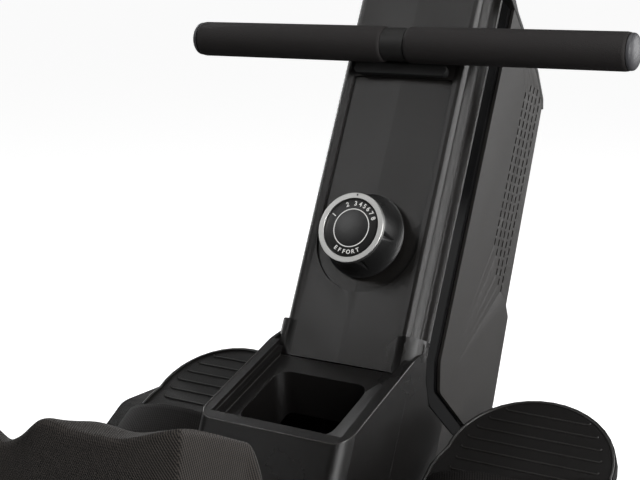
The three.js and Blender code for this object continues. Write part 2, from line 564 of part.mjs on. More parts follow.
// ================= seat =================
{
  const carriageFront = -356;
  const carriageRear = -470;
  const plateTop = -196;
  const sideIn = RAIL_HALF + 3;
  const sideOut = RAIL_HALF + 7.5;
  const rollerZ = (GROOVE_TOP + GROOVE_BOTTOM) / 2;
  const rollerR = 11.4;
  const rollerAt = [['front', carriageFront - 18], ['rear', carriageRear + 18]];
  let carriage = block(-sideOut, sideOut, carriageRear, carriageFront, plateTop - 5, plateTop);
  for (const [, side] of SIDES) {
    const skirt = block(sideIn, sideOut, carriageRear, carriageFront, -262, plateTop - 1);
    carriage = join(carriage, onSide(side, skirt));
    for (const [, y] of rollerAt) {
      carriage = join(carriage, onSide(side, rodX(4, GROOVE_FLOOR + 1, sideIn + 1, y, rollerZ, 16)));
    }
  }
  place(station, 'seat_carriage', carriage, frameSteel);
  for (const [end, y] of rollerAt) {
    for (const [name, side] of SIDES) {
      const section = [[4.3, 19.5], [rollerR, 19.5], [rollerR, 31], [4.3, 31], [4.3, 19.5]];
      const roller = turnedX(section, y, rollerZ, 16);
      place(station, `seat_roller_${end}_${name}`, onSide(side, roller), capGrey);
    }
  }

  const panTop = SEAT_BOTTOM - GAP;
  const panOutline = [[-104, -468, 30], [104, -468, 30], [76, -322, 24], [-76, -322, 24]];
  const pan = alongZ(panOutline, panTop - 8, panTop);
  const pedestal = block(-sideOut, sideOut, carriageRear + 4, carriageFront - 4, plateTop + GAP, panTop - 7);
  place(station, 'seat_base', join(pan, pedestal), darkPlastic);
}

// Bucket cushion: a dished floor, a thick rear rim with a notch in the middle, and wings that fall forward.
// u runs from -1 at the left edge to 1 at the right, v from 0 at the rear to 1 at the front.
function seatTop(u, v) {
  const across = Math.abs(u);
  const floor = -99 + 4 * across ** 2 - 34 * THREE.MathUtils.smoothstep(v, 0.25, 1);
  const notch = -22 * (1 - THREE.MathUtils.smoothstep(across, 0, 0.31));
  const shoulder = 3.4 * Math.exp(-(((across - 0.31) / 0.1) ** 2));
  const rim = -29.5 + notch + shoulder + 11.2 * THREE.MathUtils.smoothstep(across, 0.66, 1.04);
  const thick = 0.02 + 0.07 * THREE.MathUtils.smoothstep(across, 0.3, 0.5);
  const middle = 1 - THREE.MathUtils.smoothstep(v, thick, thick + 0.32);
  const wing = (1.02 - 0.7 * v) * (1 - THREE.MathUtils.smoothstep(v, 0.46, 0.72));
  const share = across ** 5;
  return floor + (rim - floor) * (middle * (1 - share) + wing * share);
}

function seatPlace(u, v) {
  const half = SEAT_HALF - 46 * THREE.MathUtils.smoothstep(v, 0.6, 1);
  const corner = Math.abs(u) ** 5;
  const rear = SEAT_REAR + 14 * corner;
  const front = SEAT_FRONT - 34 * corner;
  return [u * half, rear + (front - rear) * v];
}

{
  const acrossSteps = 24;
  const alongSteps = 14;
  const row = acrossSteps + 1;
  const points = [];
  for (const layer of ['top', 'bottom']) {
    for (let j = 0; j <= alongSteps; j += 1) {
      for (let i = 0; i <= acrossSteps; i += 1) {
        const u = -1 + 2 * i / acrossSteps;
        const v = j / alongSteps;
        const [x, y] = seatPlace(u, v);
        if (layer === 'top') {
          points.push(x, y, seatTop(u, v));
        } else {
          points.push(x * 0.84, SEAT_MIDDLE + (y - SEAT_MIDDLE) * 0.86, SEAT_BOTTOM);
        }
      }
    }
  }
  const below = row * (alongSteps + 1);
  const faces = [];
  const quad = (a, b, c, d) => faces.push(a, b, c, a, c, d);
  for (let j = 0; j < alongSteps; j += 1) {
    for (let i = 0; i < acrossSteps; i += 1) {
      const k = j * row + i;
      quad(k, k + 1, k + row + 1, k + row);
      quad(below + k + row, below + k + row + 1, below + k + 1, below + k);
    }
    const left = j * row;
    const right = j * row + acrossSteps;
    quad(left, left + row, below + left + row, below + left);
    quad(right + row, right, below + right, below + right + row);
  }
  const last = alongSteps * row;
  for (let i = 0; i < acrossSteps; i += 1) {
    quad(i + 1, i, below + i, below + i + 1);
    quad(last + i, last + i + 1, below + last + i + 1, below + last + i);
  }
  const geometry = new THREE.BufferGeometry();
  geometry.setAttribute('position', new THREE.Float32BufferAttribute(points, 3));
  geometry.setIndex(faces);
  place(station, 'seat_cushion', solid(geometry), upholstery);
}

// ================= pedals =================
{
  const axleR = 10;
  const axle = rodX(axleR, -PEDAL.x - 34, PEDAL.x + 34, PEDAL.y, PEDAL.z);
  const clamp = block(-22, 22, PEDAL.y - 14, PEDAL.y + 14, PEDAL.z - 14, RAIL_BOTTOM - GAP);
  const washer = rodX(15, PEDAL.x + 31, PEDAL.x + 36, PEDAL.y, PEDAL.z);
  const washers = SIDES.map(([, side]) => onSide(side, washer));
  place(station, 'pedal_axle', join(axle, clamp, ...washers), frameSteel);

  const toe = { v: 132, half: 80, length: 72 };
  const toeArc = arc(0, 0, 1, 0, Math.PI, 20).map(([a, b]) => [a * toe.half, toe.v + b * toe.length]);
  const outline = [...toeArc, [-87, 108, 10], [-87, 30, 10], [-74, 8], [-62, -70, 14], [-46, -96, 30],
    [46, -96, 30], [62, -70, 14], [78, 4], [111, 44, 14], [111, 104, 16]];
  const sole = [PLATE_TOP - 11, PLATE_TOP];
  const strapWays = [[[83, 36, 4], [94, 46, 4], [94, 92, 4], [83, 100, 4]],
    [[-81.5, 36, 2], [-76, 36, 2], [-76, 98, 2], [-81.5, 98, 2]]];
  const heelWall = (grow) => [[-62 + grow, -40], [-56 + grow, -76 + grow, 18], [-40, -96 + grow, 26],
    [40, -96 + grow, 26], [56 - grow, -76 + grow, 18], [62 - grow, -40]];
  const strapBand = (half, rise) => arc(0, 0, 1, 0, Math.PI, 24).map(([a, b]) => [
    half * a + 3.8, PLATE_TOP + rise * b]);
  for (const [name, side] of SIDES) {
    const pedal = new THREE.Group();
    pedal.position.set(side * PEDAL.x, PEDAL.y, PEDAL.z);
    pedal.rotation.x = PEDAL.tilt;
    station.add(pedal);
    const plate = alongZ(outline, ...sole, strapWays);
    const heel = cut(alongZ(heelWall(0), PLATE_TOP - 2, PLATE_TOP + 34),
      alongZ([...heelWall(6).slice(1, -1), [56, -30], [-56, -30]], PLATE_TOP - 3, PLATE_TOP + 40));
    const lugOutline = [[-17, -17, 16], [17, -17, 16], [26, sole[0] + 2], [-26, sole[0] + 2]];
    const lugs = [-25, 25].map((x) => alongX(lugOutline, x - 5, x + 5));
    const bore = rodX(axleR + GAP, -60, 60, 0, 0);
    const footPlate = cut(join(plate, heel, ...lugs), bore);
    place(pedal, `foot_plate_${name}`, onSide(side, footPlate), darkPlastic);
    const outer = strapBand(84.5, 41);
    const inner = strapBand(82.3, 38.8).reverse();
    const strap = alongY([...outer, [-80.7, PLATE_TOP - 16], [-78.5, PLATE_TOP - 16], ...inner,
      [86.1, PLATE_TOP - 16], [88.3, PLATE_TOP - 16]], 42, 84);
    place(pedal, `foot_strap_${name}`, onSide(side, strap), webbing);
  }
}

export default rower;
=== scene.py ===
import json
import math

import bmesh
import bpy
from mathutils import Matrix, Vector


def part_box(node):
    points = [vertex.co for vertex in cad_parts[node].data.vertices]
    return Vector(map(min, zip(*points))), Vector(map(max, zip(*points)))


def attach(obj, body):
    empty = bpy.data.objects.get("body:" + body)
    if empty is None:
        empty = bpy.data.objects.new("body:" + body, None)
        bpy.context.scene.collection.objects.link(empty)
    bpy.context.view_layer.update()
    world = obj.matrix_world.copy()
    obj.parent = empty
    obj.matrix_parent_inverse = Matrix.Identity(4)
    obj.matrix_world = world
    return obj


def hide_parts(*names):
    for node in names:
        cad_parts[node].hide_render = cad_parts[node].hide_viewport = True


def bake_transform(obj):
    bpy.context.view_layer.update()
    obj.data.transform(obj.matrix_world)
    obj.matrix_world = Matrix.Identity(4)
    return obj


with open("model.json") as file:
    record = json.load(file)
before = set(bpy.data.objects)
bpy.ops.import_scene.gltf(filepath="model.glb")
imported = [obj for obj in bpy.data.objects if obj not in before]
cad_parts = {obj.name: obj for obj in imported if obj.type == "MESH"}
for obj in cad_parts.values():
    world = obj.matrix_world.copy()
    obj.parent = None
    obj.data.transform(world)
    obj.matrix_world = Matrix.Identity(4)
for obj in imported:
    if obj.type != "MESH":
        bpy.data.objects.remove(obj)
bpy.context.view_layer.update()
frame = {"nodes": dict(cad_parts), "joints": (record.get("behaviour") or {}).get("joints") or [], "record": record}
joints = {joint["name"]: joint for joint in frame["joints"]}
bodies = frame["record"]["behaviour"]["bodies"]
body_of_node = {node: name for name, nodes in bodies.items() for node in nodes}


# ---- viewpoint, floor and studio light ----
# The rower stands on a pale studio floor that runs out of sight. The viewer stands behind the seat and
# to its right and looks down at the tower, with broad soft lamps on both sides and overhead.
STANDPOINT = Vector((0.59034, -0.35256, 0.76147))
LOOK_LEFT = math.radians(31.5)
LOOK_DOWN = math.radians(11.5)
LENS = 73.125
FLOOR_HALF = 60.0
FLOOR_TONE = (0.55, 0.60)
FLOOR_UNSEEN = 0.25
FLOOR_GLOW = 0.93
WALL_GLOW = 1.05
FILL_LIGHT = 0.045

lens = bpy.data.cameras.new("viewpoint")
lens.lens = LENS
viewpoint = bpy.data.objects.new("viewpoint", lens)
viewpoint.location = STANDPOINT
viewpoint.rotation_euler = (math.pi / 2 - LOOK_DOWN, 0, LOOK_LEFT)
bpy.context.scene.collection.objects.link(viewpoint)
bpy.context.scene.camera = viewpoint
bpy.context.scene.view_settings.view_transform = "Standard"


def node(tree, kind, inputs=(), **settings):
    """Adds a shader node; inputs maps a socket to a value or to another node's output."""
    made = tree.nodes.new(kind)
    for name, value in settings.items():
        setattr(made, name, value)
    for key, value in dict(inputs).items():
        if isinstance(value, bpy.types.NodeSocket):
            tree.links.new(value, made.inputs[key])
        else:
            made.inputs[key].default_value = value
    return made


def in_scene(name, data):
    """A new object in the scene that shows a mesh or a lamp."""
    piece = bpy.data.objects.new(name, data)
    bpy.context.scene.collection.objects.link(piece)
    return piece


def solid(name, points, faces, placed=Matrix.Identity(4)):
    """A new mesh object from points and faces, in the rower's frame."""
    mesh = bpy.data.meshes.new(name)
    mesh.from_pydata([placed @ Vector(point) for point in points], [], faces)
    mesh.validate()
    return in_scene(name, mesh)


def softbox(name, place, target, size, power):
    """An oblong lamp, size in metres and power in watts, turned towards its target."""
    lamp = bpy.data.lights.new(name, "AREA")
    lamp.shape = "RECTANGLE"
    lamp.size, lamp.size_y = size
    lamp.energy = power
    holder = in_scene(name, lamp)
    holder.location = place
    holder.rotation_euler = (Vector(target) - Vector(place)).to_track_quat("-Z", "Y").to_euler()


knob_at = Vector(joints["knob_turn"]["pos_m"])
softbox("front_left_softbox", (-2.1, -1.2, 2.6), knob_at, (0.9, 1.1), 26)
softbox("front_right_softbox", (2.2, -0.4, 1.2), knob_at, (0.5, 1.8), 62)
softbox("rear_right_softbox", (2.2, 2.9, 1.0), knob_at, (1.5, 1.8), 62)
softbox("rear_left_softbox", (-2.3, 1.7, 1.2), knob_at, (0.4, 2.0), 20)
softbox("top_softbox", (0.2, 0.6, 3.0), knob_at, (1.2, 0.6), 16)

# The backdrop looks white, but it lights the rower far less than the lamps do.
surroundings = bpy.data.worlds.new("studio")
surroundings.use_nodes = True
tree = surroundings.node_tree
seen_direct = node(tree, "ShaderNodeLightPath").outputs["Is Camera Ray"]
strength = node(tree, "ShaderNodeMapRange", {"Value": seen_direct, "To Min": FILL_LIGHT, "To Max": WALL_GLOW})
tree.links.new(strength.outputs["Result"], tree.nodes["Background"].inputs["Strength"])
tree.nodes["Background"].inputs["Color"].default_value = (1, 1, 1, 1)
bpy.context.scene.world = surroundings

corners = [(x * FLOOR_HALF, y * FLOOR_HALF, 0) for x, y in [(-1, -1), (1, -1), (1, 1), (-1, 1)]]
floor = solid("studio_floor", corners, [(0, 1, 2, 3)])
floor_paint = bpy.data.materials.new("floor_paint")
floor_paint.use_nodes = True
tree = floor_paint.node_tree
mottle = node(tree, "ShaderNodeTexNoise", {"Scale": 3.0, "Detail": 4.0})
pale = node(tree, "ShaderNodeMapRange", {"Value": mottle.outputs["Fac"], "To Min": FLOOR_TONE[0],
                                         "To Max": FLOOR_TONE[1]})
seen_direct = node(tree, "ShaderNodeLightPath").outputs["Is Camera Ray"]
shade = node(tree, "ShaderNodeMapRange", {"Value": seen_direct, "To Min": FLOOR_UNSEEN, "To Max": 1.0})
paint = node(tree, "ShaderNodeMath", {0: pale.outputs["Result"], 1: shade.outputs["Result"]},
             operation="MULTIPLY")
glow = node(tree, "ShaderNodeMapRange", {"Value": seen_direct, "To Min": 0.0, "To Max": FLOOR_GLOW})
coat = tree.nodes["Principled BSDF"].inputs
coat["Roughness"].default_value = 0.9
coat["Specular IOR Level"].default_value = 0.1
coat["Emission Color"].default_value = (1, 1, 1, 1)
tree.links.new(paint.outputs[0], coat["Base Color"])
tree.links.new(glow.outputs["Result"], coat["Emission Strength"])
floor.data.materials.append(floor_paint)


# ---- steel frame, mast and axle ----
# Square and round steel tubes, cut, welded and powder coated in satin black. Tube walls are 2.5 to 3 mm,
# and the coat lies over the welds with a faint orange peel.
EASED_STEEL = 0.0012
WELD_GAP = 0.00002
FLAT_TURN = math.radians(0.6)
COAT_BLACK = (0.010, 0.010, 0.0105, 1)


def effect(name, inputs, outputs):
    """An empty shader node group with named sockets, with its input and output ends."""
    kinds = {4: "NodeSocketColor", 3: "NodeSocketVector"}
    group = bpy.data.node_groups.new(name, "ShaderNodeTree")
    for label, value in inputs.items():
        kind = kinds[len(value)] if isinstance(value, tuple) else "NodeSocketFloat"
        group.interface.new_socket(label, in_out="INPUT", socket_type=kind).default_value = value
    for label in outputs:
        kind = "NodeSocketColor" if label == "Color" else "NodeSocketFloat"
        group.interface.new_socket(label, in_out="OUTPUT", socket_type=kind)
    given = group.nodes.new("NodeGroupInput").outputs
    result = node(group, "NodeGroupOutput").inputs
    return group, given, result


def pebbled_skin():
    """Fine pebbles with a slow drift of tone and of gloss, as on moulded or coated surfaces."""
    group, given, result = effect("pebbled_skin", {
        "Tint": (0.05, 0.05, 0.05, 1), "Drift": 0.15, "Roughness": 0.5, "Pebbles": 1500.0},
        ["Color", "Roughness", "Height"])
    where = node(group, "ShaderNodeTexCoord").outputs["Object"]
    pebbles = node(group, "ShaderNodeTexNoise", {"Vector": where, "Scale": given["Pebbles"], "Detail": 2.0})
    cloud = node(group, "ShaderNodeTexNoise", {"Vector": where, "Scale": 11.0, "Detail": 5.0})
    swing = node(group, "ShaderNodeMath", {0: cloud.outputs["Fac"], 1: 0.5},
                 operation="SUBTRACT").outputs[0]
    tone = node(group, "ShaderNodeMath", {0: swing, 1: given["Drift"], 2: 1.0}, operation="MULTIPLY_ADD")
    tinted = node(group, "ShaderNodeHueSaturation", {"Color": given["Tint"], "Value": tone.outputs[0]})
    gloss = node(group, "ShaderNodeMath", {0: swing, 1: 0.22, 2: given["Roughness"]},
                 operation="MULTIPLY_ADD")
    group.links.new(tinted.outputs["Color"], result["Color"])
    group.links.new(gloss.outputs[0], result["Roughness"])
    group.links.new(pebbles.outputs["Fac"], result["Height"])
    return group


def surface(name, skin, values, relief, **shader):
    """A Principled material whose colour, roughness and relief come from one skin group."""
    material = bpy.data.materials.new(name)
    material.use_nodes = True
    tree = material.node_tree
    bsdf = tree.nodes["Principled BSDF"]
    for label, value in shader.items():
        bsdf.inputs[label.replace("_", " ")].default_value = value
    layer = tree.nodes.new("ShaderNodeGroup")
    layer.node_tree = skin
    for label, value in values.items():
        layer.inputs[label].default_value = value
    bump = node(tree, "ShaderNodeBump", {"Height": layer.outputs["Height"], "Distance": relief})
    tree.links.new(layer.outputs["Color"], bsdf.inputs["Base Color"])
    tree.links.new(layer.outputs["Roughness"], bsdf.inputs["Roughness"])
    tree.links.new(bump.outputs["Normal"], bsdf.inputs["Normal"])
    return material


def fitted(piece, material, slot, body, *nodes):
    """Gives a piece its material, lets it ride on its body and stand for its CAD nodes; slot is not used."""
    piece.data.materials.clear()
    piece.data.materials.append(material)
    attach(piece, body)
    if nodes:
        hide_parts(*nodes)
    return piece


def smooth(piece, turn=35):
    """Shades a piece smooth, apart from edges that turn by more than so many degrees."""
    piece.data.shade_smooth()
    piece.data.set_sharp_from_angle(angle=math.radians(turn))
    return piece


def copied(node_name, name, merge_flats):
    """A new piece with the shape of a CAD node, its facets joined at their corners."""
    mesh = frame["nodes"][node_name].data.copy()
    form = bmesh.new()
    form.from_mesh(mesh)
    bmesh.ops.remove_doubles(form, verts=form.verts, dist=WELD_GAP)
    if merge_flats:
        bmesh.ops.dissolve_limit(form, angle_limit=FLAT_TURN, verts=form.verts, edges=form.edges)
    form.to_mesh(mesh)
    form.free()
    mesh.name = name
    return in_scene(name, mesh)


def finished(name, material, slot, eased=0.0008, turn=35):
    """A workshop finish on a CAD piece: flats merged, edges eased by a small round, then its material."""
    piece = smooth(copied(name, f"{name}_finished", True), turn)
    if eased:
        ease = piece.modifiers.new("eased_edges", "BEVEL")
        ease.width = eased
        ease.segments = 2
        ease.limit_method = "ANGLE"
        ease.angle_limit = math.radians(turn)
        ease.harden_normals = True
        ease.use_clamp_overlap = True
        ease.miter_outer = "MITER_ARC"
    return fitted(piece, material, slot, body_of_node[name], name)


pebbles = pebbled_skin()
powder_coat = surface("powder_coat", pebbles, {"Tint": COAT_BLACK, "Roughness": 0.38, "Pebbles": 900.0},
                      0.0002, Specular_IOR_Level=0.5, Coat_Weight=0.15, Coat_Roughness=0.3)
for name in ["main_frame", "mast", "drive_plate_left", "drive_plate_right", "front_stabiliser", "pedal_axle",
             "rail_hinge_bracket", "rear_stand", "seat_carriage", "console_arm"]:
    finished(name, powder_coat, "frame", EASED_STEEL)


# ---- feet and transport wheels ----
# Injection-moulded end caps push into the floor tubes; the front pair carries the wheels that the folded
# rower rolls on. The mid foot and the wheels' treads are black rubber.
RUBBER_BLACK = (0.009, 0.009, 0.009, 1)
FOOT_BLACK = (0.013, 0.0125, 0.012, 1)

soft_rubber = surface("soft_rubber", pebbles, {"Tint": RUBBER_BLACK, "Drift": 0.3, "Roughness": 0.72,
                                               "Pebbles": 2600.0}, 0.0003, Specular_IOR_Level=0.35)
matt_plastic = surface("matt_plastic", pebbles, {"Tint": FOOT_BLACK, "Roughness": 0.5, "Pebbles": 1700.0},
                       0.0003, Specular_IOR_Level=0.45)
for side in ["left", "right"]:
    finished(f"front_foot_{side}", matt_plastic, "dark", 0.0015)
    finished(f"rear_foot_{side}", matt_plastic, "dark", 0.0015)
    finished(f"transport_wheel_{side}", soft_rubber, "rubber", 0.0008)
finished("mid_foot", soft_rubber, "rubber", 0.0015)
finished("rail_end_cap", soft_rubber, "rubber", 0.002)


# ---- flywheel drive ----
# A turned and lacquered cast-iron flywheel, a moulded strap spool, a rubber belt and the brake shoe: a
# zinc-plated steel arc with a row of magnets glued under it.
IRON_GREY = (0.09, 0.09, 0.095, 1)
SPOOL_GREY = (0.06, 0.06, 0.065, 1)
ZINC = (0.55, 0.56, 0.57, 1)


def turned_skin():
    """Fine turning or drawing marks, finer across than along."""
    group, given, result = effect("turned_skin", {
        "Tint": (0.5, 0.5, 0.5, 1), "Roughness": 0.3, "Marks": (1.0, 1.0, 1.0)},
        ["Color", "Roughness", "Height"])
    where = node(group, "ShaderNodeTexCoord").outputs["Object"]
    drawn = node(group, "ShaderNodeVectorMath", {0: where, 1: given["Marks"]}, operation="MULTIPLY")
    marks = node(group, "ShaderNodeTexNoise", {"Vector": drawn.outputs[0], "Scale": 1.0, "Detail": 3.0})
    tone = node(group, "ShaderNodeMapRange", {"Value": marks.outputs["Fac"], "To Min": 0.8, "To Max": 1.15})
    tinted = node(group, "ShaderNodeHueSaturation", {"Color": given["Tint"], "Value": tone.outputs["Result"]})
    gloss = node(group, "ShaderNodeMath", {0: marks.outputs["Fac"], 1: 0.2, 2: given["Roughness"]},
                 operation="MULTIPLY_ADD")
    group.links.new(tinted.outputs["Color"], result["Color"])
    group.links.new(gloss.outputs[0], result["Roughness"])
    group.links.new(marks.outputs["Fac"], result["Height"])
    return group


turned = turned_skin()
cast_iron = surface("lacquered_iron", turned, {"Tint": IRON_GREY, "Roughness": 0.35,
                                               "Marks": (2500, 260, 260)}, 0.0001, Metallic=0.85)
zinc_plate = surface("zinc_plate", turned, {"Tint": ZINC, "Roughness": 0.2, "Marks": (120, 1500, 1500)},
                     0.00005, Metallic=1.0)
grey_plastic = surface("grey_plastic", pebbles, {"Tint": SPOOL_GREY, "Roughness": 0.45}, 0.0002)
finished("flywheel", cast_iron, "iron", 0.0008)
finished("strap_spool", grey_plastic, "grey", 0.0006)
finished("strap_roller", grey_plastic, "grey", 0.0003)
finished("drive_belt", soft_rubber, "rubber", 0.0003)
finished("brake_shoe", zinc_plate, "steel", 0.0006)
finished("fold_pin", zinc_plate, "steel", 0.0006)


# ---- tower shells ----
# Thin ABS mouldings with a fine spark-eroded grain, screwed together from both sides: the ribbed front
# cover with its sunk panel, the storage tray, the vented side shells and the shroud round the flywheel.
COVER_GREY = (0.0095, 0.0086, 0.0080, 1)
PANEL_GREY = (0.0150, 0.0130, 0.0118, 1)
# The tray's tint is the cover plastic painted darker: painted shade on the tray and on the cover's cheeks beside
# it.
TRAY_SHADE_BLACK = (0.0055, 0.005, 0.0048, 1)
# A lighter grey for the tray's edge beads: a painted highlight.
HIGHLIGHT_BEAD_GREY = (0.035, 0.032, 0.030, 1)
BAND_BLACK = (0.002, 0.002, 0.0022, 1)
SHELL_EASED = 0.0011
SIDE_SHELL_EASED = 0.0013
# Below this height the cover's faces take the tray's darker tint: painted shade on the cheeks.
SHADED_CHEEK_TOP = -104
# The tray's edges: half width, reach, drop behind, slope and corner radius, then the bead's radius, in mm.
TRAY_LINES = {"outer_edge": ((76.5, 94.7, -106.9, 0.9656, 14), 0.55),
              "upper_step": ((67.0, 87.0, -112.9, 0.9656, 3), 0.4),
              "lower_step": ((62.0, 84.0, -121.0, 0.96, 3), 0.4)}
# The dark wall behind each gloss band, in mm: how far out, how deep and how high.
LINER_OUT, LINER_DEPTH, LINER_UP = (73.0, 73.7), (26, 135), (-185, -80)

cover_plastic = surface("cover_plastic", pebbles, {"Tint": COVER_GREY, "Drift": 0.1, "Roughness": 0.31,
                                                   "Pebbles": 2200.0}, 0.00025, Specular_IOR_Level=0.55)
panel_plastic = surface("panel_plastic", pebbles, {"Tint": PANEL_GREY, "Drift": 0.1, "Roughness": 0.48,
                                                   "Pebbles": 2000.0}, 0.0003, Specular_IOR_Level=0.5)

# The tower's own frame has its origin at the knob: x across, y into the tower and z up along its front.
into_tower = Vector(joints["knob_turn"]["axis"])
across = Vector((1, 0, 0))
up_tower = across.cross(into_tower)
TOWER = Matrix.Translation(knob_at) @ Matrix((across, into_tower, up_tower)).transposed().to_4x4()
MM = Matrix.Scale(0.001, 4)
TOWER_MM = TOWER @ MM


def block(low, high):
    """Corner points and faces of a box."""
    points = [(x, y, z) for x in (low[0], high[0]) for y in (low[1], high[1]) for z in (low[2], high[2])]
    return points, [(0, 1, 3, 2), (4, 6, 7, 5), (0, 4, 5, 1), (2, 3, 7, 6), (0, 2, 6, 4), (1, 5, 7, 3)]


def apply_modifiers(piece):
    """Bakes a piece's modifiers into its mesh."""
    seen = piece.evaluated_get(bpy.context.evaluated_depsgraph_get())
    mesh = bpy.data.meshes.new_from_object(seen)
    piece.modifiers.clear()
    piece.data = mesh


def cut_away(piece, cutter):
    """Cuts one piece with another before its edges are eased, and throws the cutter away."""
    bore = piece.modifiers.new("cut", "BOOLEAN")
    bore.operation = "DIFFERENCE"
    bore.solver = "EXACT"
    bore.object = cutter
    piece.modifiers.move(len(piece.modifiers) - 1, 0)
    bpy.context.view_layer.update()
    apply_modifiers(piece)
    bpy.data.objects.remove(cutter)


def vent_slots(side):
    """Staggered rows of short slots that follow the shell's back edge, fewer towards the bottom."""
    points, faces = [], []
    pitch, length, width = 9.6, 6.8, 2.5
    deepest, bottom, top = 151, -8, 206
    start, end = sorted([73 * side, 84 * side])
    for column in range(5):
        depth = deepest - pitch * column
        low = bottom + 13 * max(0, column - 1) + (pitch / 2 if column % 2 else 0)
        high = top - 6 * abs(column - 2)
        for step in range(int((high - low) / pitch) + 1):
            up = low + pitch * step
            more, ring = block((start, depth - width / 2, up), (end, depth + width / 2, up + length))
            faces += [tuple(index + len(points) for index in face) for face in ring]
            points += more
    return solid("vent_cutter", points, faces, TOWER_MM)


def face_outward(piece):
    """Turns all faces of a closed skin outwards."""
    form = bmesh.new()
    form.from_mesh(piece.data)
    bmesh.ops.recalc_face_normals(form, faces=form.faces)
    form.to_mesh(piece.data)
    form.free()


def bead(route, radius, placed, name, sides=10):
    """A round bead laid along a route of points in millimetres."""
    points, faces = [], []
    route = [Vector(point) for point in route]
    count = len(route)
    for index, point in enumerate(route):
        before = route[index - 1] if index else point
        after = route[index + 1] if index < count - 1 else point
        heading = (after - before).normalized()
        level = heading.cross(Vector((0, 0, 1))).normalized()
        upright = level.cross(heading)
        for side in range(sides):
            angle = 2 * math.pi * side / sides
            points.append(point + radius * (level * math.cos(angle) + upright * math.sin(angle)))
    for index in range(count - 1):
        for side in range(sides):
            a, b = index * sides + side, index * sides + (side + 1) % sides
            faces.append((a, b, b + sides, a + sides))
    faces.append(tuple(range(sides))[::-1])
    faces.append(tuple((count - 1) * sides + side for side in range(sides)))
    piece = solid(name, points, faces, placed)
    face_outward(piece)
    return smooth(piece, 50)


def joined(pieces, name):
    """Joins several pieces into one."""
    form = bmesh.new()
    for piece in pieces:
        form.from_mesh(piece.data)
        bpy.data.objects.remove(piece)
    mesh = bpy.data.meshes.new(name)
    form.to_mesh(mesh)
    form.free()
    return smooth(in_scene(name, mesh), 50)


# The cover's cheeks beside the tray share the tray's darker, glossier copy of the cover plastic: painted shade, as
# little light reaches the tray and the cheeks.
cover = finished("front_cover", cover_plastic, "shell", SHELL_EASED)
shaded_tray_plastic = surface("shaded_tray_plastic", pebbles, {"Tint": TRAY_SHADE_BLACK, "Drift": 0.1, "Roughness": 0.3,
                                                 "Pebbles": 2200.0}, 0.0002, Specular_IOR_Level=0.4)
finished("storage_tray", shaded_tray_plastic, "shell", SHELL_EASED)
cover.data.materials.append(shaded_tray_plastic)
# Faces below the cheek line get the darker copy of the plastic: painted shade.
for face in cover.data.polygons:
    face.material_index = int((TOWER_MM.inverted() @ face.center).z < SHADED_CHEEK_TOP)

# The tray's outer edge and its two inner steps carry a thin, glossy bead in a lighter grey than the tray: a
# painted highlight along those edges.
highlight_bead_plastic = surface("highlight_bead_plastic", pebbles, {"Tint": HIGHLIGHT_BEAD_GREY, "Drift": 0.1, "Roughness": 0.25},
                       0.00005, Specular_IOR_Level=0.8)


def tray_edge(half, reach, drop, slope, corner):
    """A line round the tray at one level: along the left wall, across the front, back along the right."""
    behind, steps = 3, 6
    turns = [math.pi / 2 * step / steps for step in range(1, steps + 1)]
    plan = [(-half, behind), (-half, reach - corner)]
    plan += [(-half + corner * (1 - math.cos(turn)), reach - corner * (1 - math.sin(turn))) for turn in turns]
    plan += [(-x, out) for x, out in reversed(plan)]
    return [(x, -out, drop - slope * out) for x, out in plan]


edges = [bead(tray_edge(*line), radius, TOWER_MM, name) for name, (line, radius) in TRAY_LINES.items()]
# The beads are lighter than the tray: painted highlight lines along its edges.
fitted(joined(edges, "tray_highlight_beads"), highlight_bead_plastic, "shell", "base")
for side, sign in [("left", -1), ("right", 1)]:
    shell = finished(f"side_shell_{side}", panel_plastic, "shell", SIDE_SHELL_EASED)
    cut_away(shell, vent_slots(sign))
    finished(f"lower_shroud_{side}", panel_plastic, "shell", SHELL_EASED)

gloss_black = surface("gloss_black", pebbles, {"Tint": BAND_BLACK, "Drift": 0.05, "Roughness": 0.1,
                                               "Pebbles": 300.0}, 0.00002, Specular_IOR_Level=0.35)
for side, sign in [("left", -1), ("right", 1)]:
    finished(f"side_band_{side}", gloss_black, "gloss", 0.0006)
    low, high = [(sign * LINER_OUT[end], LINER_DEPTH[end], LINER_UP[end]) for end in (0, 1)]
    liner = solid(f"shell_liner_{side}", *block(low, high), TOWER_MM)
    fitted(smooth(liner), matt_plastic, "dark", "base")
finished("top_cap", matt_plastic, "dark", 0.0012)
finished("bar_rest", soft_rubber, "rubber", 0.0015)


# ---- resistance knob ----
# A flared black skirt with pointed finger grooves turns with its satin silver ring round a fixed dial. The
# dial is printed in white: a circle, the settings from 1 to 8 and one word underneath.
RING_R = 0.0334
DIAL_R = 0.0277
GROOVES, GROOVE_DEPTH, FIRST_GROOVE = 6, 0.0024, math.radians(95)
GROOVE_LOW, GROOVE_RISE = 0.012, 0.017
SETTINGS = [-63, -23, -2, 11, 23, 35, 48, 62]
FIRST_LETTER, LETTER_STEP = 210, 12
KNOB_BLACK = (0.012, 0.012, 0.012, 1)
SILVER = (0.42, 0.42, 0.41, 1)
PRINT_WHITE = (0.78, 0.78, 0.76, 1)


def lathe(name, profile, steps, placed, dent=None):
    """Turns a closed (radius, height) profile about local -Y; dent(angle, height) pulls points inwards."""
    points, faces = [], []
    count = len(profile)
    for step in range(steps):
        angle = 2 * math.pi * step / steps
        for radius, height in profile:
            reach = radius - (dent(angle, height) if dent else 0)
            points.append((reach * math.sin(angle), -height, reach * math.cos(angle)))
    for step in range(steps):
        for index in range(count):
            a, b = step * count + index, step * count + (index + 1) % count
            c = (step + 1) % steps * count
            faces.append((a, b, c + (index + 1) % count, c + index))
    piece = solid(name, points, faces, placed)
    face_outward(piece)
    return smooth(piece, 40)


